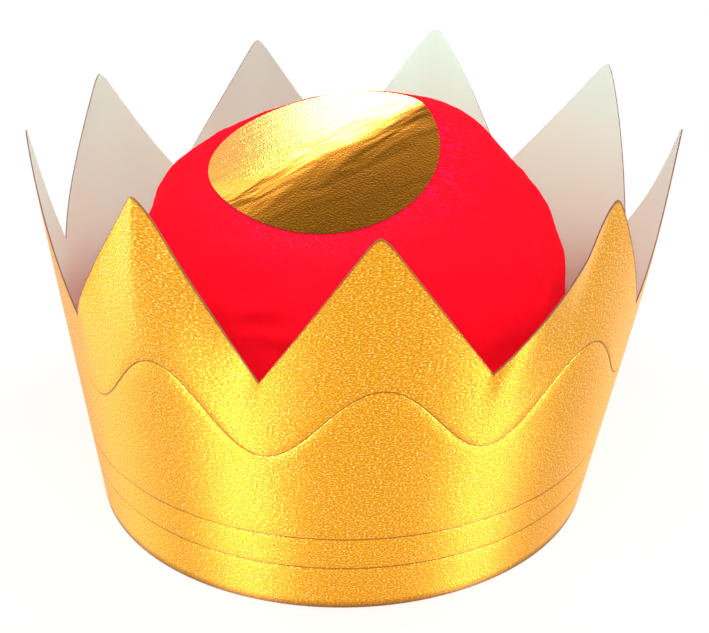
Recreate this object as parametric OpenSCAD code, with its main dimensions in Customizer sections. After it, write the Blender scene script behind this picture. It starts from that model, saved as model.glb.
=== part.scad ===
// Paper crown: a rolled card band with cut points, a gathered paper cap and a creased foil disc.
// Sizes are in millimetres. The origin is the centre of the rim, +Z is up and the front faces -Y.

/* [Band] */
// Inner diameter of the head opening at the rim
rim_d = 184; // [160:1:204]
// Thickness of the card
card_t = 0.4; // [0.3:0.05:0.8]
// Outward slope of the wall, in degrees
flare = 8.4; // [4:0.1:12]
// Number of points
points = 9; // [5:1:13]
// Height of the band at the bottom of a notch
notch_h = 89.5; // [80:0.5:100]
// Height of a point above the notches
point_rise = 50; // [30:1:70]
// Radius that the tips are cut to
tip_r = 1.5; // [0.8:0.1:4]
// Width of the glued lap that closes the band at the back
lap_w = 14; // [8:1:24]
// Thickness of the glue in the lap
lap_glue = 0.1; // [0.05:0.05:0.3]

/* [Pressed lines] */
// Height of the lower straight line above the rim
line_h = 17.5; // [8:0.5:24]
// Spacing of the two straight lines
line_gap = 12.5; // [6:0.5:18]
// Rise from the upper straight line to the troughs of the wave
wave_gap = 32; // [22:1:36]
// Height of the wave from trough to crest
wave_h = 26; // [10:1:34]
// Turn of the wave's crests to the right of the points, in degrees
wave_turn = 2.5; // [-4:0.5:4]
// Width of a pressed line
line_w = 0.9; // [0.5:0.1:1.6]
// Depth of a pressed line
line_d = 0.12; // [0.04:0.02:0.2]

/* [Cap] */
// Thickness of the crepe paper
cap_t = 0.3; // [0.15:0.05:0.6]
// Height of the lower edge of the hem above the rim
hem_h = 36; // [24:1:42]
// Width of the hem that is glued to the band
hem_w = 10; // [6:1:14]
// Thickness of the glue on the hem and under the disc
glue_t = 0.2; // [0.2:0.05:0.4]
// Height at which the side of the cap stands upright
side_h = 77; // [68:1:90]
// Distance of the cap's side inside the circle of the rim
side_gap = 15; // [8:1:24]
// Height of the cap's top at the middle of the crease
cap_h = 126.5; // [110:0.5:140]
// Fullness of the shoulder, where 1 is round and less is squarer
shoulder = 0.85; // [0.7:0.05:1.3]
// How much squarer the shoulder is on the left than on the right
shoulder_skew = 0.25; // [0:0.05:0.4]
// Number of broad pleats in the cap's side
pleats = 11; // [7:1:15]
// Depth of a pleat
pleat_d = 2; // [0:0.25:3]

/* [Disc] */
// Diameter of the foil disc
disc_d = 84; // [60:1:100]
// Thickness of the foil card
disc_t = 0.3; // [0.15:0.05:0.6]
// Shift of the disc's centre to the right of the cap's axis
disc_x = -10.5; // [-14:0.5:14]
// Shift of the disc's centre behind the cap's axis
disc_y = 3; // [-14:0.5:14]
// Direction of the crease, in degrees from +X
crease_a = 33; // [0:1:60]
// Distance of the crease in front of the disc's centre
crease_off = 2.5; // [0:0.5:10]
// Rise of the crease towards the back, in degrees
crease_rise = 12.5; // [0:0.5:16]
// Angle by which the part in front of the crease bends down
crease_fold = 21; // [0:1:30]
// Width over which the crease bends, at the disc's centre
crease_w = 10; // [4:1:20]
// Share by which the crease is wider at its front end and narrower at its back end
crease_spread = 0.65; // [0:0.05:0.8]

/* [Hand set] */
// How far the tips have swayed to the right of the rim
sway_x = 5.5; // [-8:0.5:8]
// How far the tips have swayed behind the rim
sway_y = 1.5; // [-8:0.5:8]

/* [Hidden] */

// How far each tip and the middle of each edge bend outward in mm, and each tip and notch turns sideways
// in degrees, counted to the right from the front point
point_lean = [0, 0, -3, 1.5, 8, -6.5, -3.5, -0.5, -8.5];
point_turn = [0.5, -1, -3, -1, 1, 0, 1, -3, -2];
notch_turn = [1, 0, -1, 0, 0, 0, 4, 0, 2.5];
left_bow = [0, 4, 0, 0, 0, 0, 0, 0, 1.5];
right_bow = [0, 0, 0, 0, 0, 0, 0, 0, -3];

rim_r = rim_d / 2;
tip_h = notch_h + point_rise;
step = 360 / points;
half_point = PI * wall_r(tip_h) / points;
// Share of half a point's width over which its tip is rounded
tip_share = tip_r * point_rise / pow(half_point, 2);
trough_h = line_h + line_gap + wave_gap;
lap_a = lap_w / rim_r * 180 / PI;
// Angle over which the end of the band eases in under the lap
lap_ease = 20;
// Columns on each side of a point, closer together at its tip
side_cols = 81;
least_cols = 6;
half_cols = max(least_cols, round(side_cols / points));
tip_cluster = 1.8;
// Rows from the wave line to the cut edge
point_rows = 3;
disc_r = disc_d / 2;
hem_top = hem_h + hem_w;
// Angle at which the shoulder is fullest
full_a = -75;
side_r = rim_r - side_gap;
// Phases in degrees of two sets of pleats that keep the gathers uneven, and the share of the first
pleat_phase = 112;
loose_phase = 104;
loose_pleats = pleats - 4;
pleat_share = 0.65;
cap_cols = 72;
cap_step = 360 / cap_cols;
disc_rings = 3;

function lerp(p, q, share) = p + (q - p) * share;
function smooth(x) = let (t = min(1, max(0, x))) t * t * (3 - 2 * t);
function item(list, i) = list[((i % len(list)) + len(list)) % len(list)];
// Horizontal unit vector at an angle, which runs to the right from the front
function dir(a) = [sin(a), -cos(a)];
// Point at a place in plan and a height, with the sway of the whole crown
function swayed(xy, z) = [xy.x + sway_x * z / tip_h, xy.y + sway_y * z / tip_h, z];

// Inner radius of the straight wall at a height
function wall_r(z) = rim_r + z * tan(flare);
// Cut edge of the band, where u runs from 0 at a tip to 1 at a notch. The sheet is a fan when it lies flat,
// and the points are cut straight on it
function edge_h(u) =
    let (
        cut = (norm([u, tip_share]) - tip_share) / (norm([1, tip_share]) - tip_share),
        to_tip = wall_r(tip_h) / sin(flare),
        to_notch = wall_r(notch_h) / sin(flare),
        fan_a = step / 2 * sin(flare),
        spread = to_tip * sin(cut * fan_a) + to_notch * sin((1 - cut) * fan_a),
        reach = to_tip * to_notch * sin(fan_a) / spread
    )
    reach * cos(flare) - rim_r / tan(flare);
// Height of the wave line at an angle
function wave_z(a) = trough_h + wave_h * (1 + cos(points * (a - wave_turn))) / 2;
// Half of the wave line's width, measured upright
function wave_half(a) =
    line_w / 2 * norm([1, wave_h / 2 * PI * sin(points * (a - wave_turn)) / half_point]);
// How far the free end of the band lies inside the circle, to pass under the lap
function tuck(a) = (card_t + lap_glue) * smooth((a - 180 + lap_ease) / lap_ease);
// The same for what is glued inside the band, where x is the angle past the seam
function lap_room(x) =
    let (
        before = smooth(1 + x / lap_ease),
        after = smooth((lap_a + cap_step + lap_ease - x) / lap_ease)
    )
    (card_t + lap_glue) * min(before, after);

// Share of the way from a tip to a notch at an angle
function share_at(a) = 2 * abs(a / step - round(a / step));
// Point of the band at an angle and a height, some way out from its inner face. The points bend above
// the wave line
function band_point(a, z, out) =
    let (
        tip = round(a / step),
        on_right = a / step >= tip,
        notch = on_right ? tip : tip - 1,
        u = share_at(a),
        rise = max(0, z - wave_z(a)) / (edge_h(u) - wave_z(a)),
        bow = item(on_right ? right_bow : left_bow, tip) * 4 * u * (1 - u),
        lean = (item(point_lean, tip) * (1 - u) + bow) * pow(rise, 2),
        turn = lerp(item(point_turn, tip), item(notch_turn, notch), u) * rise
    )
    swayed((wall_r(z) - tuck(a) + lean + out) * dir(a + turn), z);

// Heights of the band's rows at one column: the rim, three for each line, and those of the point
function band_heights(a) =
    let (
        wave = wave_z(a),
        half = wave_half(a),
        edge = edge_h(share_at(a)),
        upper = line_h + line_gap
    )
    [
        0,
        for (middle = [line_h, upper]) each [middle - line_w / 2, middle, middle + line_w / 2],
        wave - half,
        wave,
        wave + half,
        for (k = [1 : point_rows]) lerp(wave + half, edge, k / point_rows)
    ];
// Rows in the middle of a pressed line
lower_row = 2;
upper_row = 5;
wave_row = 8;
pressed_rows = [lower_row, upper_row, wave_row];
// Rows that the smooth inner face shares with the outer one
inner_rows = [0, upper_row, wave_row, for (k = [1 : point_rows]) wave_row + 1 + k];

// Angles of the band's columns from the seam round to the end under the lap
function half_share(k, from_tip) =
    let (t = k / half_cols) from_tip ? pow(t, tip_cluster) : 1 - pow(1 - t, tip_cluster);
turn_cols = [
    for (h = [0 : 2 * points - 1])
        for (k = [0 : half_cols - 1]) -180 + step / 2 * (h + half_share(k, (h + points) % 2 == 0))
];
band_cols = concat(turn_cols, [for (a = turn_cols) if (a + 180 < lap_a) a + 360], [180 + lap_a]);

// Point of the cap's top under the disc, a share of the way from its centre to its edge
function top_point(share, a) =
    let (
        along = [cos(crease_a), sin(crease_a)],
        across = [-sin(crease_a), cos(crease_a)],
        flat = share * disc_r * dir(a),
        s = flat * along,
        t = flat * across + crease_off,
        width = crease_w * (1 - crease_spread * s / disc_r),
        drop = sin(crease_fold) * (norm([t, width]) - t) / 2,
        plan_t = t * (t < 0 ? cos(crease_fold) : 1) - crease_off,
        plan = [disc_x, disc_y] + s * cos(crease_rise) * along + plan_t * across
    )
    [plan.x, plan.y, cap_h + s * sin(crease_rise) - drop];
function plan_of(p) = [p.x, p.y];

// Two sets of pleats that run into each other
function pleat(a) =
    pleat_d * lerp(cos(loose_pleats * a + loose_phase), cos(pleats * a + pleat_phase), pleat_share);
function side_plan(a) = (side_r + pleat(a)) * dir(a);
function hem_plan(a, z) = (wall_r(z) - glue_t - lap_room(a > 0 ? a - 180 : a + 180)) * dir(a);

// Rows of the cap from the hem to the edge of the disc: the bend of each row in degrees
skirt_rows = [90, 60, 30];
shoulder_rows = [90, 75, 60, 45, 30, 15];

// A row of the cap is its outer point and the way in, as a share outward and a share up
function hem_row(a) = [swayed(hem_plan(a, hem_h), hem_h), [1, 0]];
function skirt_row(a, bend) =
    let (
        plan = lerp(side_plan(a), hem_plan(a, hem_top), 1 - cos(bend)),
        z = lerp(side_h, hem_top, sin(bend))
    )
    [swayed(plan, z), [bend < 90 ? cos(bend) : 1, sin(bend)]];
function shoulder_row(a, bend) =
    let (
        ring = top_point(1, a),
        z = lerp(side_h, ring.z, pow(cos(bend), shoulder - shoulder_skew * cos(a - full_a)))
    )
    [swayed(lerp(plan_of(ring), side_plan(a), sin(bend)), z), [sin(bend), cos(bend)]];
function top_row(share, a) = let (p = top_point(share, a)) [swayed(plan_of(p), p.z), [0, 1]];
function cap_column(a) = [
    hem_row(a),
    for (bend = skirt_rows) skirt_row(a, bend),
    for (bend = shoulder_rows) shoulder_row(a, bend),
    for (k = [disc_rings : -1 : 1]) top_row(k / disc_rings, a)
];
function inside(row, a) = row[0] - cap_t * [row[1][0] * sin(a), -row[1][0] * cos(a), row[1][1]];

// Point of the disc, some way above the cap's top
function disc_point(share, a, above) = swayed(plan_of(top_point(share, a)), top_point(share, a).z + above);

function turned(columns) = [for (i = [0 : len(columns[0]) - 1]) [for (column = columns) column[i]]];

// Solid sheet between a front grid and a back grid of points, as rows of columns.
// paired lists the front row beside each back row, ring joins the last column to the first,
// and poles holds the two points that close the last rows of a domed sheet.
module sheet(front, back, paired, ring = true, poles = []) {
    across = len(front[0]);
    last = ring ? across - 1 : across - 2;
    top = len(front) - 1;
    back_top = len(back) - 1;
    back_at = len(front) * across;
    pole = back_at + len(back) * across;
    f = function (i, j) i * across + j % across;
    b = function (i, j) back_at + i * across + j % across;
    faces = [
        for (j = [0 : last]) each [
            for (i = [0 : top - 1]) each [
                [f(i, j), f(i + 1, j + 1), f(i, j + 1)],
                [f(i, j), f(i + 1, j), f(i + 1, j + 1)]
            ],
            for (i = [0 : back_top - 1]) each [
                [b(i, j), b(i, j + 1), b(i + 1, j + 1)],
                [b(i, j), b(i + 1, j + 1), b(i + 1, j)]
            ],
            [f(0, j), f(0, j + 1), b(0, j)],
            [f(0, j + 1), b(0, j + 1), b(0, j)],
            if (len(poles) == 0) each [
                [f(top, j), b(back_top, j), f(top, j + 1)],
                [f(top, j + 1), b(back_top, j), b(back_top, j + 1)]
            ]
            else each [
                [f(top, j), pole, f(top, j + 1)],
                [b(back_top, j), b(back_top, j + 1), pole + 1]
            ]
        ],
        if (!ring) each [
            for (q = [0 : back_top - 1]) each [
                for (k = [paired[q] : paired[q + 1] - 1]) each [
                    [b(q, 0), f(k + 1, 0), f(k, 0)],
                    [b(q, across - 1), f(k, across - 1), f(k + 1, across - 1)]
                ],
                [b(q, 0), b(q + 1, 0), f(paired[q + 1], 0)],
                [b(q, across - 1), f(paired[q + 1], across - 1), b(q + 1, across - 1)]
            ]
        ]
    ];
    polyhedron(concat([for (row = front) each row], [for (row = back) each row], poles), faces);
}

module crown_band() {
    end = len(band_cols) - 1;
    outer = [
        for (j = [0 : end])
            let (
                a = band_cols[j],
                heights = band_heights(a),
                press = j == 0 || j == end ? 0 : line_d
            )
            [
                for (i = [0 : len(heights) - 1])
                    band_point(a, heights[i], card_t - (len(search(i, pressed_rows)) > 0 ? press : 0))
            ]
    ];
    inner = [
        for (a = band_cols)
            let (heights = band_heights(a))
            [for (i = inner_rows) band_point(a, heights[i], 0)]
    ];
    color("gold") sheet(turned(outer), turned(inner), inner_rows, ring = false);
}

module red_cap() {
    angles = [for (j = [0 : cap_cols - 1]) -180 + j * cap_step];
    outer = [for (a = angles) [for (row = cap_column(a)) row[0]]];
    inner = [for (a = angles) [for (row = cap_column(a)) inside(row, a)]];
    top = top_row(0, 0);
    color("crimson")
        sheet(turned(outer), turned(inner), [], poles = [top[0], inside(top, 0)]);
}

module gold_disc() {
    angles = [for (j = [0 : cap_cols - 1]) -180 + j * cap_step];
    rings = [for (k = [disc_rings : -1 : 1]) k / disc_rings];
    upper = [for (share = rings) [for (a = angles) disc_point(share, a, glue_t + disc_t)]];
    lower = [for (share = rings) [for (a = angles) disc_point(share, a, glue_t)]];
    color("goldenrod")
        sheet(upper, lower, [], poles = [disc_point(0, 0, glue_t + disc_t), disc_point(0, 0, glue_t)]);
}

crown_band();
red_cap();
gold_disc();
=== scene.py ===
"""Looks of a paper crown: a rolled gold card band, a gathered red crepe cap and a creased foil disc."""

import logging
import math
from collections.abc import Callable
from dataclasses import dataclass
from enum import Enum
from typing import Any

import bpy
import numpy as np
from mathutils import Matrix, Vector, noise


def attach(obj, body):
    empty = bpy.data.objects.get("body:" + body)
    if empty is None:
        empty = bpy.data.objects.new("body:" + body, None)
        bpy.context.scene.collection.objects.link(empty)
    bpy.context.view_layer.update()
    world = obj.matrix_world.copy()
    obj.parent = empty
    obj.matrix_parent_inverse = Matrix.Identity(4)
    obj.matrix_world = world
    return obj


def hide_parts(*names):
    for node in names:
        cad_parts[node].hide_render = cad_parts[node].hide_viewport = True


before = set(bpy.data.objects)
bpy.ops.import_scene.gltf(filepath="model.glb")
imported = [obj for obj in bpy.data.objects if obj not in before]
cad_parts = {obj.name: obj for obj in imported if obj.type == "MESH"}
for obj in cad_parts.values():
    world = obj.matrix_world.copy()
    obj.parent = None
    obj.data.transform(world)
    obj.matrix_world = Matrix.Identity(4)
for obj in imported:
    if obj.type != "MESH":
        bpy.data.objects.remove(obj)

log = logging.getLogger("crown")

MM = 0.001

# Plain white, and the cool light of the strips, which takes the gold's streaks towards cream
WHITE = "#ffffff"
COOL = "#a9c2ff"

# Inputs of a Map Range node, its plain target, and the colour sockets of a Mix node
RANGE = ("Value", "From Min", "From Max", "To Min", "To Max")
FULL = (0.0, 1.0)
MIX_A, MIX_B, MIXED = 6, 7, 2


class Node(Enum):
    """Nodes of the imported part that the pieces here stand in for."""

    BAND = "crown_band"
    CAP = "red_cap"
    DISC = "gold_disc"


class Slot(Enum):
    """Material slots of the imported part."""

    GOLD = "gold_card"
    CREPE = "crepe_paper"
    FOIL = "foil_card"


# Small helpers


def linear(code: str) -> tuple[float, float, float, float]:
    """Turns an sRGB hex colour into a linear one.

    Args:
        code: Six hex digits after a hash sign.

    Returns:
        Linear red, green, blue and an alpha of one.
    """
    parts = [int(code[i : i + 2], 16) / 255 for i in (1, 3, 5)]
    r, g, b = (c / 12.92 if c <= 0.04045 else ((c + 0.055) / 1.055) ** 2.4 for c in parts)
    return r, g, b, 1.0


def add_node(
    tree: bpy.types.NodeTree,
    kind: str,
    inputs: dict[str | int, Any] | None = None,
    **settings: Any,
) -> bpy.types.Node:
    """Adds a node, sets its properties and sets or links its inputs.

    Args:
        tree: Node tree that takes the node.
        kind: Node type, without its ShaderNode prefix.
        inputs: A constant or an output socket for each named or numbered input.
        **settings: Properties of the node.

    Returns:
        The new node.
    """
    node = tree.nodes.new(f"ShaderNode{kind}")
    for name, value in settings.items():
        setattr(node, name, value)
    for name, value in (inputs or {}).items():
        if isinstance(value, bpy.types.NodeSocket):
            tree.links.new(value, node.inputs[name])
        else:
            node.inputs[name].default_value = value
    return node


def new_tree(name: str) -> tuple[bpy.types.Material, bpy.types.NodeTree]:
    """Makes a material with an empty node tree.

    Args:
        name: Name of the material.

    Returns:
        The material and its tree.
    """
    material = bpy.data.materials.new(name)
    material.use_nodes = True
    material.node_tree.nodes.clear()
    return material, material.node_tree


def sees_backdrop(tree: bpy.types.NodeTree) -> bpy.types.NodeSocket:
    """Adds a value that is 1 for what the camera sees, straight on, in metal or through glass.

    Args:
        tree: Node tree of the floor or the world.

    Returns:
        The socket that holds the value.
    """
    path = add_node(tree, "LightPath").outputs
    mirrored = add_node(tree, "Math", {0: path["Is Camera Ray"], 1: path["Is Glossy Ray"]}, operation="MAXIMUM")
    return add_node(
        tree, "Math", {0: mirrored.outputs[0], 1: path["Is Transmission Ray"]}, operation="MAXIMUM"
    ).outputs[0]


def smooth(x: np.ndarray) -> np.ndarray:
    """Eases a share from 0 to 1."""
    t = np.clip(x, 0, 1)
    return t * t * (3 - 2 * t)


def direction(a: np.ndarray) -> tuple[np.ndarray, np.ndarray]:
    """Horizontal unit vector at an angle in degrees, to the right from the front."""
    return np.sin(np.radians(a)), -np.cos(np.radians(a))


def rough_field(points: np.ndarray, octaves: int = 2) -> np.ndarray:
    """Samples a fixed noise field.

    Args:
        points: Places in the field, one row each.
        octaves: Layers of finer and finer noise.

    Returns:
        One value from about -1 to 1 for each place.
    """
    fade, finer = 0.8, 2.0
    flat = points.reshape(-1, 3)
    values = [noise.fractal(Vector(p), fade, finer, octaves) for p in flat.tolist()]
    return np.array(values).reshape(points.shape[:-1])


@dataclass(frozen=True)
class Sheet:
    """Points of a sheet as rows of columns, with what its finish needs to know.

    Attributes:
        points: Places in millimetres, rows by columns by three.
        flat: Place on the flat sheet in millimetres, rows by columns by two.
        marks: Named values for each point.
        pressed: How far each point of the face alone is moved in millimetres, rows by columns by three.
    """

    points: np.ndarray
    flat: np.ndarray
    marks: dict[str, np.ndarray]
    pressed: np.ndarray | None = None


def lay_sheet(name: str, sheet: Sheet, thick: float) -> bpy.types.Object:
    """Models a sheet of paper from a flat grid.

    The grid is rolled or gathered into place, its seam and pole are closed and its thickness is added inward.

    Args:
        name: Name of the piece.
        sheet: Where the grid's points go.
        thick: Thickness in millimetres.

    Returns:
        The piece, with its thickness still to be applied. Its material slots are the face, the back and the
        cut edge.
    """
    rows, cols = sheet.points.shape[:2]
    bpy.ops.object.select_all(action="DESELECT")
    bpy.ops.mesh.primitive_grid_add(x_subdivisions=cols - 1, y_subdivisions=rows - 1, size=0.1)
    piece = bpy.context.object
    piece.name = name
    mesh = piece.data
    mesh.vertices.foreach_set("co", (sheet.points.reshape(-1) * MM).astype(np.float32))
    corner = np.empty(len(mesh.loops), dtype=np.int32)
    mesh.loops.foreach_get("vertex_index", corner)
    mesh.uv_layers[0].name = "flat"
    mesh.uv_layers["flat"].data.foreach_set("uv", sheet.flat.reshape(-1, 2)[corner].reshape(-1).astype(np.float32))
    for mark, values in sheet.marks.items():
        layer = mesh.attributes.new(mark, "FLOAT", "POINT")
        layer.data.foreach_set("value", values.reshape(-1).astype(np.float32))
    bpy.ops.object.mode_set(mode="EDIT")
    bpy.ops.mesh.select_all(action="SELECT")
    bpy.ops.mesh.remove_doubles(threshold=1e-6)
    bpy.ops.object.mode_set(mode="OBJECT")
    shell = piece.modifiers.new("thickness", "SOLIDIFY")
    shell.thickness = thick * MM
    shell.offset = -1
    shell.material_offset = 1
    shell.material_offset_rim = 2
    return piece


def finish_sheet(
    piece: bpy.types.Object, finishes: list[bpy.types.Material], sharp: float, sheet: Sheet | None = None
) -> None:
    """Gives a sheet its materials, applies its thickness, presses its face and smooths it.

    Args:
        piece: The sheet.
        finishes: Materials of the face, the back and the cut edge.
        sharp: Angle in degrees above which an edge stays sharp.
        sheet: What is pressed into the face, for an open sheet.
    """
    piece.data.materials.clear()
    for material in finishes:
        piece.data.materials.append(material)
    bpy.context.view_layer.objects.active = piece
    bpy.ops.object.modifier_apply(modifier="thickness")
    if sheet is not None and sheet.pressed is not None:
        # The face's points come first, and the back's follow
        places = np.empty(3 * len(piece.data.vertices), dtype=np.float32)
        piece.data.vertices.foreach_get("co", places)
        moved = sheet.pressed.reshape(-1) * MM
        places[: len(moved)] += moved
        piece.data.vertices.foreach_set("co", places)
        piece.data.update()
    bpy.ops.object.shade_smooth_by_angle(angle=math.radians(sharp))


# Finishes


@dataclass(frozen=True)
class GoldCard:
    """Satin gold foil on card: a warm sheen that runs up and down, broken by a fine pebbled grain."""

    # Colours of the gold, of its grain's shaded side, of painted shade in lines and cuts, of painted glint on flat
    # spots
    face: str = "#fcbc02"
    shade: str = "#e88b00"
    painted_shade: str = "#6e2f0c"
    glint: str = "#ffe08c"
    # Width, height and depth of a grain, and size of a soft patch with its own sheen, in millimetres
    grain_w: float = 0.8
    grain_h: float = 0.5
    grain_d: float = 0.3
    cloud_w: float = 30.0
    cloud_h: float = 60.0
    # Noise levels from face to shade, from no painted glint to a full one, and from glossy to dull patches
    shaded: tuple[float, float] = (0.4, 0.6)
    glinted: tuple[float, float] = (0.42, 0.31)
    patchy: tuple[float, float] = (0.3, 0.7)
    # Roughness of these patches, what a flat spot adds to it, and strength of the grain's bump
    satin: tuple[float, float] = (0.38, 0.45)
    polish: float = -0.26
    relief: float = 0.8

    def build(self) -> bpy.types.Material:
        """Makes the material.

        Returns:
            The material, for a piece with the UV map "flat" and the mark "press", which places its painted shade.
        """
        material, tree = new_tree("gold_foil_card")
        uv = add_node(tree, "UVMap", uv_map="flat").outputs["UV"]
        # The real grain is a little finer than this, which the picture couldn't show
        grain_at = add_node(tree, "Mapping", {"Vector": uv, "Scale": (1 / self.grain_w, 1 / self.grain_h, 1)})
        grain = add_node(tree, "TexNoise", {"Vector": grain_at.outputs[0], "Scale": 1.0, "Detail": 2.0}).outputs[0]
        cloud_at = add_node(tree, "Mapping", {"Vector": uv, "Scale": (1 / self.cloud_w, 1 / self.cloud_h, 1)})
        cloud = add_node(tree, "TexNoise", {"Vector": cloud_at.outputs[0], "Scale": 1.0, "Detail": 3.0}).outputs[0]
        tone = add_node(tree, "MapRange", dict(zip(RANGE, (grain, *self.shaded, *FULL))))
        face = add_node(
            tree,
            "Mix",
            {"Factor": tone.outputs[0], MIX_A: linear(self.face), MIX_B: linear(self.shade)},
            data_type="RGBA",
        )
        # Flat spots of the grain are glossier, and their paler colour is a painted glint of a lamp
        bright = add_node(tree, "MapRange", dict(zip(RANGE, (grain, *self.glinted, *FULL)))).outputs[0]
        glinted = add_node(
            tree,
            "Mix",
            {"Factor": bright, MIX_A: face.outputs[MIXED], MIX_B: linear(self.glint)},
            data_type="RGBA",
        )
        # Pressed lines and cut edges are painted darker, a painted shade in the grooves and along the cuts
        press = add_node(tree, "Attribute", attribute_name="press").outputs["Fac"]
        pressed = add_node(
            tree,
            "Mix",
            {"Factor": press, MIX_A: glinted.outputs[MIXED], MIX_B: linear(self.painted_shade)},
            data_type="RGBA",
        )
        even = add_node(tree, "MapRange", dict(zip(RANGE, (cloud, *self.patchy, *self.satin))))
        polish = add_node(tree, "Math", {0: bright, 1: self.polish}, operation="MULTIPLY")
        rough = add_node(tree, "Math", {0: even.outputs[0], 1: polish.outputs[0]}, operation="ADD")
        bump = add_node(tree, "Bump", {"Height": grain, "Strength": self.relief, "Distance": self.grain_d * MM})
        along = add_node(tree, "Tangent", direction_type="UV_MAP", uv_map="flat")
        shader = add_node(
            tree,
            "BsdfPrincipled",
            {
                "Base Color": pressed.outputs[MIXED],
                "Metallic": 0.8,
                "Specular IOR Level": 1.0,
                "Roughness": rough.outputs[0],
                "Anisotropic": 0.95,
                "Anisotropic Rotation": 0.25,
                "Tangent": along.outputs[0],
                "Normal": bump.outputs[0],
            },
        )
        add_node(tree, "OutputMaterial", {"Surface": shader.outputs[0]})
        return material


@dataclass(frozen=True)
class PlainPaper:
    """Uncoated board: dead matt, so that it takes on the colour of what stands beside it."""

    name: str
    colour: str
    # Width and depth of the fibre clumps in millimetres, and strength of their bump
    fibre_w: float = 1.25
    fibre_d: float = 0.05
    relief: float = 0.2

    def build(self) -> bpy.types.Material:
        """Makes the material.

        Returns:
            The material, for a piece with the UV map "flat".
        """
        material, tree = new_tree(self.name)
        uv = add_node(tree, "UVMap", uv_map="flat").outputs["UV"]
        fibre = add_node(tree, "TexNoise", {"Vector": uv, "Scale": 1 / self.fibre_w, "Detail": 3.0}).outputs[0]
        bump = add_node(tree, "Bump", {"Height": fibre, "Strength": self.relief, "Distance": self.fibre_d * MM})
        shader = add_node(
            tree,
            "BsdfPrincipled",
            {"Base Color": linear(self.colour), "Roughness": 0.85, "Normal": bump.outputs[0]},
        )
        add_node(tree, "OutputMaterial", {"Surface": shader.outputs[0]})
        return material


@dataclass(frozen=True)
class CrepePaper:
    """Red crepe paper: a deep soft red, almost without gloss, with fine crimps and a painted pink sheen by the disc.
    """

    # Colours of the paper, of painted shade in its crimps' hollows, of painted sheen lines, and of the sheen at
    # glancing angles
    face: str = "#fa0e22"
    shade: str = "#e00a1c"
    sheen_colour: str = "#ff2c86"
    bloom: str = "#ff9fc0"
    # Width, length and depth of a crimp, then width and length of a painted sheen line, in millimetres
    crimp_w: float = 1.3
    crimp_l: float = 3.9
    crimp_d: float = 0.08
    sheen_line_w: float = 1.1
    sheen_line_l: float = 2.6
    # Noise levels from face to shaded hollow and from no painted sheen line to a full one, each with the shares
    # mixed in
    hollow: tuple[float, float] = (0.35, 0.75)
    hollow_share: tuple[float, float] = (0.0, 0.25)
    sheened: tuple[float, float] = (0.55, 0.7)
    sheened_share: tuple[float, float] = (0.0, 0.6)
    # Strength of the crimps' bump
    relief: float = 0.2

    def build(self) -> bpy.types.Material:
        """Makes the material.

        Returns:
            The material, for a piece with the UV map "flat" and the mark "rubbed", which places the painted sheen.
        """
        material, tree = new_tree("red_crepe_paper")
        uv = add_node(tree, "UVMap", uv_map="flat").outputs["UV"]
        crimp_at = add_node(tree, "Mapping", {"Vector": uv, "Scale": (1 / self.crimp_w, 1 / self.crimp_l, 1)})
        crimp = add_node(tree, "TexNoise", {"Vector": crimp_at.outputs[0], "Scale": 1.0, "Detail": 2.0}).outputs[0]
        # Parts of the crimps are painted darker, a painted shade that follows their bump
        tone = add_node(tree, "MapRange", dict(zip(RANGE, (crimp, *self.hollow, *self.hollow_share))))
        colour = add_node(
            tree,
            "Mix",
            {"Factor": tone.outputs[0], MIX_A: linear(self.face), MIX_B: linear(self.shade)},
            data_type="RGBA",
        )
        # Pink lines by the disc are a painted sheen, mixed into the paper's colour
        by_disc = add_node(tree, "Attribute", attribute_name="sheened").outputs["Fac"]
        sheen_at = add_node(tree, "Mapping", {"Vector": uv, "Scale": (1 / self.sheen_line_w, 1 / self.sheen_line_l, 1)})
        sheen_noise = add_node(
            tree, "TexNoise", {"Vector": sheen_at.outputs[0], "Scale": 1.0, "Detail": 3.0, "Distortion": 1.5}
        ).outputs[0]
        lines = add_node(tree, "MapRange", dict(zip(RANGE, (sheen_noise, *self.sheened, *self.sheened_share))))
        mark = add_node(tree, "Math", {0: lines.outputs[0], 1: by_disc}, operation="MULTIPLY")
        tinted = add_node(
            tree,
            "Mix",
            {"Factor": mark.outputs[0], MIX_A: colour.outputs[MIXED], MIX_B: linear(self.sheen_colour)},
            data_type="RGBA",
        )
        bump = add_node(tree, "Bump", {"Height": crimp, "Strength": self.relief, "Distance": self.crimp_d * MM})
        shader = add_node(
            tree,
            "BsdfPrincipled",
            {
                "Base Color": tinted.outputs[MIXED],
                "Roughness": 0.62,
                "IOR": 1.15,
                "Specular IOR Level": 0.03,
                "Sheen Weight": 0.004,
                "Sheen Roughness": 0.4,
                "Sheen Tint": linear(self.bloom),
                "Normal": bump.outputs[0],
            },
        )
        add_node(tree, "OutputMaterial", {"Surface": shader.outputs[0]})
        return material


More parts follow.
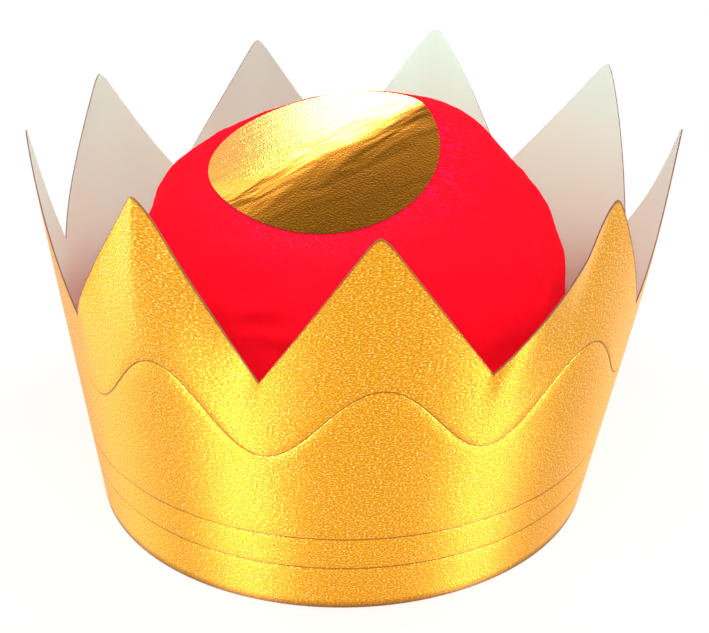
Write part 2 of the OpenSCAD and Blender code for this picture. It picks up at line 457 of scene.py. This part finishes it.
@dataclass(frozen=True)
class MirrorFoil:
    """Mirror-gold foil on thin card: sharp reflections drawn into streaks along the crease, with fine specks."""

    # Angle of the crease in degrees, and how far it lies in front of the middle in millimetres
    turn: float
    crease_off: float
    face: str = "#f09a1e"
    # Width, length and depth of a streak, then of a broad dent, in millimetres
    streak_w: float = 2.2
    streak_l: float = 30.0
    streak_d: float = 0.17
    swell_w: float = 13.0
    swell_l: float = 34.0
    swell_d: float = 1.3
    # Specks in a millimetre, their depth in millimetres and the strength of their bump
    specks: float = 1.4
    speck_d: float = 0.09
    speck_strength: float = 0.8
    # Distances from the crease in millimetres over which the dents weaken, and their strength
    dent_reach: tuple[float, float] = (2.0, 20.0)
    dent_strength: tuple[float, float] = (1.0, 0.12)
    # Places across the crease in millimetres over which the streaks get stronger, and their strength
    streak_reach: tuple[float, float] = (-7.0, 3.0)
    streak_strength: tuple[float, float] = (0.12, 0.7)

    def build(self) -> bpy.types.Material:
        """Makes the material.

        Returns:
            The material, for a disc with the UV map "flat".
        """
        material, tree = new_tree("mirror_gold_foil")
        uv = add_node(tree, "UVMap", uv_map="flat").outputs["UV"]
        turned = add_node(tree, "Mapping", {"Vector": uv, "Rotation": (0, 0, -math.radians(self.turn))}).outputs[0]
        streak_at = add_node(tree, "Mapping", {"Vector": turned, "Scale": (1 / self.streak_l, 1 / self.streak_w, 1)})
        streak = add_node(
            tree, "TexNoise", {"Vector": streak_at.outputs[0], "Scale": 1.0, "Detail": 4.0, "Distortion": 0.8}
        )
        speck = add_node(tree, "TexNoise", {"Vector": uv, "Scale": self.specks, "Detail": 1.0})
        swell_at = add_node(tree, "Mapping", {"Vector": turned, "Scale": (1 / self.swell_l, 1 / self.swell_w, 1)})
        swell = add_node(
            tree, "TexNoise", {"Vector": swell_at.outputs[0], "Scale": 1.0, "Detail": 2.0, "Distortion": 0.5}
        )
        off = add_node(tree, "SeparateXYZ", {0: turned}).outputs["Y"]
        apart = add_node(tree, "Math", {0: off, 1: self.crease_off}, operation="ADD").outputs[0]
        away = add_node(tree, "Math", {0: apart}, operation="ABSOLUTE").outputs[0]
        near = add_node(
            tree,
            "MapRange",
            dict(zip(RANGE, (away, *self.dent_reach, *self.dent_strength))),
            interpolation_type="SMOOTHSTEP",
        )
        behind = add_node(
            tree, "MapRange", dict(zip(RANGE, (apart, *self.streak_reach, *self.streak_strength)))
        )
        # Broad dents carry the streaks, and the streaks carry the specks
        bump = None
        for height, strength, depth in (
            (swell, near.outputs[0], self.swell_d),
            (streak, behind.outputs[0], self.streak_d),
            (speck, self.speck_strength, self.speck_d),
        ):
            under = {} if bump is None else {"Normal": bump}
            relief = {"Height": height.outputs[0], "Strength": strength, "Distance": depth * MM}
            bump = add_node(tree, "Bump", relief | under).outputs[0]
        shader = add_node(
            tree,
            "BsdfPrincipled",
            {
                "Base Color": linear(self.face),
                "Metallic": 1.0,
                "Roughness": 0.15,
                "Coat Weight": 0.25,
                "Coat Roughness": 0.1,
                "Normal": bump,
                "Coat Normal": bump,
            },
        )
        add_node(tree, "OutputMaterial", {"Surface": shader.outputs[0]})
        return material


# Sub-assemblies


@dataclass
class Shape:
    """Sizes that the pieces share, in millimetres and degrees."""

    # Inner radius at the rim, angle of the wall from upright, and heights of the points and the notches
    rim_r: float = 92.0
    flare: float = 8.4
    tip_h: float = 139.5
    notch_h: float = 89.5
    # How far the crown sways to the right and back at the height of the points
    sway_x: float = 5.5
    sway_y: float = 1.5

    def wall_r(self, z: np.ndarray | float) -> np.ndarray | float:
        """Inner radius of the band's wall at a height."""
        return self.rim_r + z * math.tan(math.radians(self.flare))

    def placed(self, x: np.ndarray, y: np.ndarray, z: np.ndarray) -> np.ndarray:
        """Stacks places in plan and heights into points, with the sway of the whole crown."""
        return np.stack([x + self.sway_x * z / self.tip_h, y + self.sway_y * z / self.tip_h, z + 0 * x], axis=-1)


@dataclass
class CrownBand:
    """The gold card band: one fan-cut sheet with nine points, rolled up and lapped at the back.

    Lengths are in millimetres and angles in degrees. A tuple of nine goes round to the right from the front point.
    """

    shape: Shape
    card_t: float = 0.4
    points: int = 9
    tip_r: float = 1.5
    # Width of the lap, its glue, and the angle over which the end tucks under it
    lap_w: float = 14.0
    lap_glue: float = 0.1
    lap_ease: float = 20.0
    # Pressed lines: heights of the straight ones, troughs, height and turn of the wave, width and depth
    lines: tuple[float, float] = (17.5, 30.0)
    trough_h: float = 62.0
    wave_h: float = 26.0
    wave_turn: float = 2.5
    line_w: float = 1.1
    line_d: float = 0.2
    # How far each tip leans out, and how far each tip and the notch to its right are turned to the right
    lean: tuple[float, ...] = (0, 0, -3, 1.5, 8, -6.5, -3.5, -0.5, -8.5)
    point_turn: tuple[float, ...] = (0.5, -1, -3, -1, 1, 0, 1, -3, -2)
    notch_turn: tuple[float, ...] = (1, 0, -1, 0, 0, 0, 4, 0, 2.5)
    # How far each half of a point bows out and its right cut swells, and the share where a bow sets in
    left_bow: tuple[float, ...] = (0, 4, 0, 0, 0, 0, 0, 0, 1.5)
    right_bow: tuple[float, ...] = (0, 0, 0, 0, 0, 0, 0, 0, 2.5)
    right_swell: tuple[float, ...] = (0, 0, 0, 0, 0, 0, 0, 0, 3)
    bow_ease: float = 0.35
    # Columns in half a point, how they crowd at a tip, one more beside the lap's end, and the least gap
    half_cols: int = 26
    col_ease: float = 1.6
    seam_a: float = 0.5
    col_gap: float = 0.2
    # Rows across a line, below each straight line, up to the wave, and up to the cut, where they crowd
    line_rows: int = 6
    low_rows: int = 5
    wall_rows: int = 9
    point_rows: int = 22
    row_ease: float = 2.0
    # Height at which the flat strip's length is taken
    flat_h: float = 60.0
    # Width of the painted shade along a cut, and how dark the painted shade makes lines and cuts
    shade_w: float = 0.7
    line_shade: float = 0.7
    cut_shade: float = 0.85
    # Angle above which an edge stays sharp, and colours of the card's back and of its cut edge, a painted shade
    sharp: float = 40.0
    back: str = "#d6efda"
    edge_shade: str = "#7d4a2a"

    @property
    def step(self) -> float:
        """Angle between two points."""
        return 360 / self.points

    @property
    def lap_a(self) -> float:
        """Angle that the lap covers."""
        return math.degrees(self.lap_w / self.shape.rim_r)

    @property
    def half_point(self) -> float:
        """Width of half a point, at the height of its tip."""
        return math.pi * self.shape.wall_r(self.shape.tip_h) / self.points

    def columns(self) -> np.ndarray:
        """Spaces the columns, closer at the tips.

        Returns:
            Their angles, from the seam round to the end under the lap.
        """
        ease = np.linspace(0, 1, self.half_cols + 1)[:-1]
        turns = []
        for half in range(2 * self.points):
            from_tip = (half + self.points) % 2 == 0
            share = ease**self.col_ease if from_tip else 1 - (1 - ease) ** self.col_ease
            turns.append(-180 + self.step / 2 * (half + share))
        once = np.sort(np.concatenate([*turns, [self.seam_a - 180]]))
        again = once[once + 180 < self.lap_a - self.col_gap] + 360
        return np.concatenate([once, again, [180 + self.lap_a]])

    def edge_h(self, u: np.ndarray) -> np.ndarray:
        """Finds the cut edge, whose cuts are straight on the flat fan.

        Args:
            u: Share of the way from a tip to a notch.

        Returns:
            Height of the edge.
        """
        shape, flare = self.shape, math.radians(self.shape.flare)
        round_share = self.tip_r * (shape.tip_h - shape.notch_h) / self.half_point**2
        cut = (np.hypot(u, round_share) - round_share) / (math.hypot(1, round_share) - round_share)
        to_tip = shape.wall_r(shape.tip_h) / math.sin(flare)
        to_notch = shape.wall_r(shape.notch_h) / math.sin(flare)
        fan = math.radians(self.step / 2) * math.sin(flare)
        reach = to_tip * to_notch * math.sin(fan) / (to_tip * np.sin(cut * fan) + to_notch * np.sin((1 - cut) * fan))
        return reach * math.cos(flare) - shape.rim_r / math.tan(flare)

    def wave_line(self, a: np.ndarray) -> tuple[np.ndarray, np.ndarray]:
        """Runs the wave line round the band.

        Args:
            a: Angles of the columns.

        Returns:
            Height of the line's middle, and half its upright width, which grows on the slopes.
        """
        phase = np.radians(self.points * (a - self.wave_turn))
        slope = self.wave_h / 2 * math.pi * np.sin(phase) / self.half_point
        return self.trough_h + self.wave_h * (1 + np.cos(phase)) / 2, self.line_w / 2 * np.hypot(1, slope)

    def levels(self, a: np.ndarray, edge: np.ndarray) -> tuple[np.ndarray, np.ndarray]:
        """Spaces the rows from the rim up to the cut edge, close together across the pressed lines.

        Args:
            a: Angles of the columns.
            edge: Height of the cut edge at each column.

        Returns:
            Heights of the points, and the share of a line's depth that each is pressed in.
        """
        wave, half = self.wave_line(a)
        rows = [np.zeros_like(a)]
        press = [0.0]

        def fill(high: np.ndarray, count: int, dip: bool = False, ease: float = 1.0) -> None:
            """Adds rows from the last one up to a height.

            Args:
                high: Height of the last new row.
                count: Number of new rows.
                dip: Whether a line is pressed across them.
                ease: How strongly they crowd at the top.
            """
            low = rows[-1]
            for k in range(1, count + 1):
                rows.append(low + (high - low) * (1 - (1 - k / count) ** ease))
                press.append(math.sin(math.pi * k / count) ** 2 if dip else 0.0)

        for middle in self.lines:
            fill(0 * a + middle - self.line_w / 2, self.low_rows)
            fill(0 * a + middle + self.line_w / 2, self.line_rows, dip=True)
        fill(wave - half, self.wall_rows)
        fill(wave + half, self.line_rows, dip=True)
        fill(edge, self.point_rows, ease=self.row_ease)
        dips = np.stack([p + 0 * a for p in press])
        dips[:, [0, -1]] = 0
        return np.stack(rows), dips

    def sheet(self) -> Sheet:
        """Rolls the flat strip.

        Returns:
            The band's outer face.
        """
        shape = self.shape
        a = self.columns()
        turns = a / self.step
        tip = np.round(turns).astype(int)
        on_right = turns >= tip
        notch = np.where(on_right, tip, tip - 1)
        u = 2 * np.abs(turns - tip)
        edge = self.edge_h(u)
        wave, _ = self.wave_line(a)
        z, dips = self.levels(a, edge)
        rise = np.maximum(0, z - wave) / (edge - wave)

        def pick(values: tuple[float, ...], index: np.ndarray = tip) -> np.ndarray:
            """Each column's value, by its point or notch."""
            return np.take(values, index, mode="wrap")

        arch = 4 * u * (1 - u)
        bows = np.where(on_right, pick(self.right_bow), pick(self.left_bow)) * arch * smooth(u / self.bow_ease)
        lean = (pick(self.lean) * smooth(1 - u) + bows) * rise**2
        bend = pick(self.point_turn) * (1 - u) + pick(self.notch_turn, notch) * u
        bend = bend + np.where(on_right, pick(self.right_swell), 0) * arch
        tuck = (self.card_t + self.lap_glue) * smooth((a - 180 + self.lap_ease) / self.lap_ease)
        r = shape.wall_r(z) - tuck + lean + self.card_t
        x, y = direction(a + bend * rise)
        slant = z / math.cos(math.radians(shape.flare))
        flat = np.stack([np.radians(a) * shape.wall_r(self.flat_h) + 0 * z, slant], axis=-1)
        # Painted shade along the cuts follows the rim, the cut points and the end on top of the lap
        steep = (shape.tip_h - shape.notch_h) / self.half_point
        cut = np.minimum(z, (edge - z) / math.hypot(1, steep))
        cut = np.minimum(cut, np.radians(a + 180) * shape.rim_r)
        painted_shade = 1 - smooth(cut / self.shade_w)
        # The mark paints shade into the pressed lines and along the cuts
        marks = {"press": np.clip(self.line_shade * dips + self.cut_shade * painted_shade, 0, 1)}
        pressed = -self.line_d * dips[..., None] * np.stack([x, y, 0 * x], axis=-1)
        return Sheet(shape.placed(r * x, r * y, z), flat, marks, pressed)

    def build(self) -> bpy.types.Object:
        """Models the band.

        Returns:
            The band, which stands in for its solid.
        """
        sheet = self.sheet()
        piece = lay_sheet("gold_band", sheet, self.card_t)
        self.dress(piece, sheet)
        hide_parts(Node.BAND.value)
        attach(piece, "root")
        return piece

    def dress(self, piece: bpy.types.Object, sheet: Sheet) -> None:
        """Gives the band its gold face with pressed lines, its white back and its cut edge, painted dark brown as a
        painted shade.

        Args:
            piece: The band.
            sheet: The band's outer face, with what is pressed into it.
        """
        back = PlainPaper("white_card_back", self.back).build()
        edge = PlainPaper("card_edge_shade", self.edge_shade).build()
        finish_sheet(piece, [GoldCard().build(), back, edge], self.sharp, sheet)


@dataclass
class Top:
    """The flat top of the cap and the disc on it: a soft fold across a tilted circle.

    Lengths are in millimetres and angles in degrees.
    """

    # Radius and place of the disc, and height of its middle
    disc_r: float = 42.0
    disc_x: float = -10.5
    disc_y: float = 3.0
    cap_h: float = 126.5
    # Angle of the crease, how far in front it lies, its rise to the right and the fall before it
    crease_a: float = 33.0
    crease_off: float = 2.5
    crease_rise: float = 12.5
    crease_fold: float = 21.0
    # Width over which the crease is rounded, and how much sharper it gets to the right
    crease_w: float = 10.0
    crease_spread: float = 0.65

    def point(self, share: np.ndarray, a: np.ndarray) -> tuple[np.ndarray, np.ndarray, np.ndarray]:
        """Place of a point of the top.

        Args:
            share: Share of the way from the centre to the edge.
            a: Angle to the right from the front, in degrees.

        Returns:
            Its place in plan and its height.
        """
        turn, rise, fold = (math.radians(v) for v in (self.crease_a, self.crease_rise, self.crease_fold))
        x, y = direction(a)
        x, y = share * self.disc_r * x, share * self.disc_r * y
        s = x * math.cos(turn) + y * math.sin(turn)
        t = y * math.cos(turn) - x * math.sin(turn) + self.crease_off
        width = self.crease_w * (1 - self.crease_spread * s / self.disc_r)
        drop = math.sin(fold) * (np.hypot(t, width) - t) / 2
        across = t * np.where(t < 0, math.cos(fold), 1) - self.crease_off
        along = s * math.cos(rise)
        return (
            self.disc_x + along * math.cos(turn) - across * math.sin(turn),
            self.disc_y + along * math.sin(turn) + across * math.cos(turn),
            self.cap_h + s * math.sin(rise) - drop,
        )


@dataclass
class CrepeCap:
    """The red cap: one crepe sheet, gathered inside the band and puffed up to the disc.

    Lengths are in millimetres and angles in degrees.
    """

    shape: Shape
    top: Top
    band: CrownBand
    # Paper, lower and upper edge of the hem, glue, and the angle that the hem keeps clear beside the lap
    cap_t: float = 0.3
    hem_h: float = 36.0
    hem_top: float = 46.0
    glue_t: float = 0.2
    lap_margin: float = 5.0
    # Height and radius of the puffed side, and how full the shoulder is, how unevenly, and where most
    side_h: float = 77.0
    side_r: float = 77.0
    shoulder: float = 0.85
    shoulder_skew: float = 0.25
    full_a: float = -75.0
    # Pleats and their depth, and a second set that breaks up the first: how many fewer, mix and starts
    pleats: int = 11
    pleat_d: float = 2.0
    pleat_less: int = 4
    pleat_mix: float = 0.65
    pleat_at: tuple[float, float] = (112.0, 104.0)
    # Columns, rows of waist, shoulder and top, and how soon the paper is loose below the disc
    cols: int = 540
    waist_rows: int = 12
    shoulder_rows: int = 40
    top_rows: int = 6
    loosen: float = 2.5
    # Crumples: depth, how far below the side their centre lies, and sizes and shares of two kinds
    crinkle_d: float = 1.1
    crinkle_heart: float = 30.0
    broad_w: float = 26.0
    broad_share: float = 0.9
    sharp_w: float = 15.0
    sharp_share: float = 0.7
    # Place of the sharp kind in the noise field
    sharp_at: float = 7.3
    # Angle, height, reach and depth of each crease
    creases: tuple[tuple[float, float, float, float], ...] = (
        (-27, 101, 9, 0.7),
        (-22, 92, 11, 0.9),
        (-12, 86, 10, 0.8),
        (24, 97, 12, 0.5),
        (62, 90, 10, 0.9),
        (-66, 92, 12, 0.8),
        (118, 95, 12, 0.9),
        (171, 96, 10, 0.8),
        (-128, 97, 12, 0.8),
    )
    # Width and slant of a crease, and how many widths above it a lip stands and how high
    crease_w: float = 2.2
    crease_slant: float = 2.0
    lip_at: float = 2.0
    lip_share: float = 0.5
    # Painted sheen: how far from the disc, the least all round, and angle and reach of each patch
    sheen_reach: float = 15.0
    sheen_least: float = 0.25
    sheen_patches: tuple[tuple[float, float], ...] = ((75, 40), (-15, 30))
    # Angle above which an edge stays sharp
    sharp: float = 60.0

    def lap_room(self, a: np.ndarray) -> np.ndarray:
        """Makes room for the end of the band under the lap.

        Args:
            a: Angles of the columns.

        Returns:
            How far the hem lies in from the wall.
        """
        past = np.where(a > 0, a - 180, a + 180)
        ease = self.band.lap_ease
        out = smooth((self.band.lap_a + self.lap_margin + ease - past) / ease)
        return (self.band.card_t + self.band.lap_glue) * np.minimum(smooth(1 + past / ease), out)

    def gathered(self, a: np.ndarray) -> tuple[np.ndarray, np.ndarray]:
        """Gathers the sheet from the hem to the middle of the top, before it crumples.

        Args:
            a: Angles of the columns.

        Returns:
            Points of the outer face, and how loose the paper is in each row.
        """
        shape = self.shape
        dx, dy = direction(a)
        first = np.cos(np.radians(self.pleats * a + self.pleat_at[0]))
        second = np.cos(np.radians((self.pleats - self.pleat_less) * a + self.pleat_at[1]))
        side = self.side_r + self.pleat_d * (self.pleat_mix * first + (1 - self.pleat_mix) * second)
        ring_x, ring_y, ring_z = self.top.point(np.ones_like(a), a)
        power = self.shoulder - self.shoulder_skew * np.cos(np.radians(a - self.full_a))
        rows: list[np.ndarray] = []
        loose: list[float] = []

        def hem(z: float) -> np.ndarray:
            """Radius of the hem at a height."""
            return shape.wall_r(z) - self.glue_t - self.lap_room(a)

        for z in (self.hem_h, (self.hem_h + self.hem_top) / 2):
            rows.append(shape.placed(hem(z) * dx, hem(z) * dy, z + 0 * a))
            loose.append(0.0)
        for bend in np.radians(np.linspace(90, 0, self.waist_rows + 1)[:-1]):
            r = side + (hem(self.hem_top) - side) * (1 - math.cos(bend))
            z = self.side_h + (self.hem_top - self.side_h) * math.sin(bend) + 0 * a
            rows.append(shape.placed(r * dx, r * dy, z))
            loose.append(math.cos(bend) ** 2)
        for bend in np.radians(np.linspace(90, 0, self.shoulder_rows + 1)[:-1]):
            x = ring_x + (side * dx - ring_x) * math.sin(bend)
            y = ring_y + (side * dy - ring_y) * math.sin(bend)
            z = self.side_h + (ring_z - self.side_h) * np.cos(bend) ** power
            rows.append(shape.placed(x, y, z))
            loose.append(min(1.0, self.loosen * math.sin(bend)))
        for share in np.linspace(1, 0, self.top_rows + 1):
            rows.append(shape.placed(*self.top.point(share + 0 * a, a)))
            loose.append(0.0)
        return np.stack(rows), np.array(loose)

    def crinkles(self, points: np.ndarray) -> np.ndarray:
        """Crumples and creases the gathered paper.

        Args:
            points: Points of the outer face.

        Returns:
            How far each point stands out.
        """
        broad = rough_field(points / self.broad_w)
        sharp = np.abs(rough_field(points / self.sharp_w + self.sharp_at))
        height = self.crinkle_d * (self.broad_share * broad - self.sharp_share * sharp)
        angle = np.degrees(np.arctan2(points[..., 0], -points[..., 1]))
        for at, level, reach, depth in self.creases:
            aside = (np.mod(angle - at + 180, 360) - 180) / reach
            above = (points[..., 2] - level - self.crease_slant * aside) / self.crease_w
            fold = np.exp(-(above**2)) - self.lip_share * np.exp(-((above - self.lip_at) ** 2))
            height = height - depth * np.exp(-(aside**2)) * fold
        return height

    def sheet(self) -> Sheet:
        """Gathers and crumples the sheet.

        Returns:
            The cap's outer face.
        """
        a = np.linspace(-180, 180, self.cols + 1)
        points, loose = self.gathered(a)
        out = points - np.array([0, 0, self.side_h - self.crinkle_heart])
        out /= np.linalg.norm(out, axis=-1, keepdims=True)
        points = points + (self.crinkles(points) * loose[:, None])[..., None] * out
        points[:, -1] = points[:, 0]
        length = np.concatenate([[0], np.cumsum(np.linalg.norm(np.diff(points[:, 0], axis=0), axis=-1))])
        flat = np.stack(np.broadcast_arrays(np.radians(a) * self.side_r, length[:, None]), axis=-1)
        # The mark for the painted sheen is strongest by the disc's edge, and more so in its patches
        ring = self.shape.placed(*self.top.point(np.ones_like(a), a))
        beside = np.linalg.norm(points - ring, axis=-1) / self.sheen_reach
        patches = sum(np.exp(-(((a - at) / reach) ** 2)) for at, reach in self.sheen_patches)
        return Sheet(points, flat, {"sheened": np.exp(-(beside**2)) * np.minimum(self.sheen_least + patches, 1)})

    def build(self) -> bpy.types.Object:
        """Models the cap.

        Returns:
            The cap, which stands in for its solid.
        """
        piece = lay_sheet("crepe_cap", self.sheet(), self.cap_t)
        self.dress(piece)
        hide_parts(Node.CAP.value)
        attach(piece, "root")
        return piece

    def dress(self, piece: bpy.types.Object) -> None:
        """Gives the cap its red paper, the same on both sides."""
        crepe = CrepePaper().build()
        finish_sheet(piece, [crepe, crepe, crepe], self.sharp)


@dataclass
class FoilDisc:
    """The mirror-gold disc on the cap's top, with a soft crease across it."""

    shape: Shape
    top: Top
    # Thicknesses in millimetres
    glue_t: float = 0.2
    disc_t: float = 0.3
    # Columns, rings, the angle in degrees above which an edge stays sharp, and the card's colour, a dark brown
    # painted shade
    cols: int = 180
    rings: int = 48
    sharp: float = 40.0
    edge_shade: str = "#7d4a2a"

    def sheet(self) -> Sheet:
        """Lays the disc over the top.

        Returns:
            The disc's upper face.
        """
        shape, lift = self.shape, self.glue_t + self.disc_t
        a = np.linspace(-180, 180, self.cols + 1)
        share = np.linspace(1, 0, self.rings + 1)[:, None]
        x, y, z = self.top.point(share, a)
        points = shape.placed(x, y, z + lift)
        # The disc lies straight above the top, so the lift adds no sway
        points[:, :, :2] -= np.array([shape.sway_x, shape.sway_y]) * lift / shape.tip_h
        points[:, -1] = points[:, 0]
        dx, dy = direction(a)
        flat = self.top.disc_r * np.stack([share * dx, share * dy], axis=-1)
        return Sheet(points, flat, {})

    def build(self) -> bpy.types.Object:
        """Models the disc.

        Returns:
            The disc, which stands in for its solid.
        """
        piece = lay_sheet("foil_disc", self.sheet(), self.disc_t)
        self.dress(piece)
        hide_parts(Node.DISC.value)
        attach(piece, "root")
        return piece

    def dress(self, piece: bpy.types.Object) -> None:
        """Gives the disc its mirror foil, with card under it and at its cut edge painted dark brown, a painted
        shade.

        Args:
            piece: The disc.
        """
        foil = MirrorFoil(self.top.crease_a, self.top.crease_off).build()
        card = PlainPaper("foil_card_edge_shade", self.edge_shade).build()
        finish_sheet(piece, [foil, card, card], self.sharp)


# Studio


@dataclass(frozen=True)
class Lamp:
    """A soft box that lights the crown, or a bright card that only metal shows.

    Attributes:
        name: Name of the lamp.
        azimuth: Angle to the right from the front, in degrees.
        elevation: Angle above the floor, in degrees.
        distance: Distance from the crown's middle, in metres.
        size: Width and height in metres.
        power: Power in watts.
        mirrored: Whether metal shows it and it lights nothing else, or the other way round.
        colour: Colour of the light.
    """

    name: str
    azimuth: float
    elevation: float
    distance: float
    size: tuple[float, float]
    power: float
    mirrored: bool = False
    colour: str = WHITE

    def build(self, aim: Vector) -> None:
        """Hangs the lamp and turns it to the crown.

        Args:
            aim: The crown's middle, in metres.
        """
        a, e = math.radians(self.azimuth), math.radians(self.elevation)
        back = Vector((math.sin(a) * math.cos(e), -math.cos(a) * math.cos(e), math.sin(e)))
        bpy.ops.object.light_add(type="AREA", location=aim + back * self.distance)
        lamp = bpy.context.object
        lamp.name = self.name
        lamp.rotation_euler = (-back).to_track_quat("-Z", "Y").to_euler()
        lamp.data.shape = "RECTANGLE"
        lamp.data.size, lamp.data.size_y = self.size
        lamp.data.energy = self.power
        lamp.data.color = linear(self.colour)[:3]
        lamp.visible_diffuse = not self.mirrored
        lamp.visible_glossy = self.mirrored


@dataclass
class Studio:
    """White sweep, lamps and the camera."""

    # Strips draw the gold's streaks, the card lifts its middle, the back lamps show in the foil, and boxes light all
    lamps: tuple[Lamp, ...] = (
        Lamp("left_strip", -41, 10, 1.0, (0.13, 0.4), 19.5, True, COOL),
        Lamp("right_strip", 49, 12, 1.0, (0.12, 0.45), 20.0, True, COOL),
        Lamp("far_left_strip", -98, 20, 1.0, (0.5, 0.45), 11.0, True, COOL),
        Lamp("far_right_strip", 112, 22, 1.0, (0.3, 0.5), 5.0, True, COOL),
        Lamp("front_card", 0, 24, 1.0, (0.9, 0.4), 1.6, True),
        Lamp("back_panel", 171, 36, 1.2, (0.7, 0.38), 9.0, True),
        Lamp("back_glow", 186, 48, 1.2, (0.9, 0.26), 1.0, True),
        Lamp("front_box", 0, 58, 1.0, (0.9, 0.4), 6.0),
        Lamp("left_box", -105, 48, 1.0, (0.4, 0.4), 3.5),
        Lamp("right_box", 107, 48, 1.0, (0.4, 0.4), 4.0),
    )
    # Camera: place and target in metres, lens and sensor in millimetres, shift, roll and nearest sight
    eye: tuple[float, float, float] = (-0.01569, -0.43482, 0.27688)
    aim: tuple[float, float, float] = (0.0, 0.0, 0.060962)
    lens: float = 66.236
    sensor: float = 36.0
    shift: tuple[float, float] = (0.01719, 0.00113)
    roll: float = -0.301
    clip: float = 0.01
    # Floor: radius and height in metres, sides, and its colours as it lights the crown and as it is seen
    floor_r: float = 4.0
    floor_z: float = -0.0002
    floor_sides: int = 96
    floor_lit: str = "#cacaca"
    floor_seen: str = "#f4f4f4"
    # Distances in metres over which the floor's shadow fades to white, and the shares of white
    fade: tuple[float, float] = (0.15, 0.5)
    fade_share: tuple[float, float] = (0.7, 1.0)
    # Directions from front to back over which the room's level changes, and the levels
    depth: tuple[float, float] = (-0.6, 0.6)
    room: tuple[float, float] = (0.55, 0.58)
    # Directions up to the ceiling over which the light fades, and the shares of light
    ceiling: tuple[float, float] = (0.82, 0.93)
    ceiling_share: tuple[float, float] = (1.0, 0.14)

    def build(self) -> None:
        """Builds the floor, the room, the lamps and the camera."""
        self.lay_floor()
        self.light_room()
        for lamp in self.lamps:
            lamp.build(Vector(self.aim))
        self.set_camera()
        bpy.context.scene.view_settings.view_transform = "Standard"

    def lay_floor(self) -> None:
        """Lays a floor that keeps a soft shadow and is white to the camera."""
        bpy.ops.object.select_all(action="DESELECT")
        bpy.ops.mesh.primitive_circle_add(
            vertices=self.floor_sides, radius=self.floor_r, fill_type="NGON", location=(0, 0, self.floor_z)
        )
        floor = bpy.context.object
        floor.name = "floor"
        bpy.ops.object.transform_apply(location=True)
        material, tree = new_tree("white_sweep")
        seen = sees_backdrop(tree)
        tone = add_node(
            tree,
            "Mix",
            {"Factor": seen, MIX_A: linear(self.floor_lit), MIX_B: linear(self.floor_seen)},
            data_type="RGBA",
        )
        plain = add_node(tree, "BsdfDiffuse", {"Color": tone.outputs[MIXED]})
        glow = add_node(tree, "Emission", {"Color": linear(WHITE), "Strength": 1.0})
        place = add_node(tree, "TexCoord").outputs["Object"]
        away = add_node(tree, "VectorMath", {0: place}, operation="LENGTH").outputs["Value"]
        white = add_node(
            tree,
            "MapRange",
            dict(zip(RANGE, (away, *self.fade, *self.fade_share))),
            interpolation_type="SMOOTHSTEP",
        )
        share = add_node(tree, "Math", {0: seen, 1: white.outputs[0]}, operation="MULTIPLY")
        shown = add_node(tree, "MixShader", {0: share.outputs[0], 1: plain.outputs[0], 2: glow.outputs[0]})
        add_node(tree, "OutputMaterial", {"Surface": shown.outputs[0]})
        floor.data.materials.append(material)

    def light_room(self) -> None:
        """Lights the room evenly. To the camera and in metal it is white, but for its dark ceiling."""
        world = bpy.data.worlds.new("studio")
        bpy.context.scene.world = world
        world.use_nodes = True
        tree = world.node_tree
        tree.nodes.clear()
        way = add_node(tree, "TexCoord").outputs["Generated"]
        axes = add_node(tree, "SeparateXYZ", {0: way}).outputs
        even = add_node(tree, "MapRange", dict(zip(RANGE, (axes[1], *self.depth, *self.room))))
        high = add_node(tree, "MapRange", dict(zip(RANGE, (axes[2], *self.ceiling, *self.ceiling_share)))).outputs[0]
        level = add_node(tree, "Math", {0: even.outputs[0], 1: high}, operation="MULTIPLY")
        room = add_node(tree, "Background", {"Color": linear(WHITE), "Strength": level.outputs[0]})
        white = add_node(tree, "Background", {"Color": linear(WHITE), "Strength": high})
        shown = add_node(tree, "MixShader", {0: sees_backdrop(tree), 1: room.outputs[0], 2: white.outputs[0]})
        add_node(tree, "OutputWorld", {"Surface": shown.outputs[0]})

    def set_camera(self) -> None:
        """Sets the camera where the photograph was taken from."""
        bpy.ops.object.camera_add(location=self.eye)
        camera = bpy.context.object
        look = (Vector(self.aim) - Vector(self.eye)).to_track_quat("-Z", "Y").to_matrix()
        camera.rotation_euler = (look @ Matrix.Rotation(math.radians(self.roll), 3, "Z")).to_euler()
        camera.data.lens = self.lens
        camera.data.sensor_width = self.sensor
        camera.data.shift_x, camera.data.shift_y = self.shift
        camera.data.clip_start = self.clip
        bpy.context.scene.camera = camera


def main() -> None:
    """Builds the crown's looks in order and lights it."""
    logging.basicConfig(level=logging.INFO, format="%(name)s: %(message)s")
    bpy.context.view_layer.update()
    shape, top = Shape(), Top()
    band = CrownBand(shape)
    makers: list[Callable[[], bpy.types.Object]] = [
        band.build,
        CrepeCap(shape, top, band).build,
        FoilDisc(shape, top).build,
    ]
    for make in makers:
        piece = make()
        log.info("%s: %d faces", piece.name, len(piece.data.polygons))
    Studio().build()


if __name__ == "__main__":
    main()
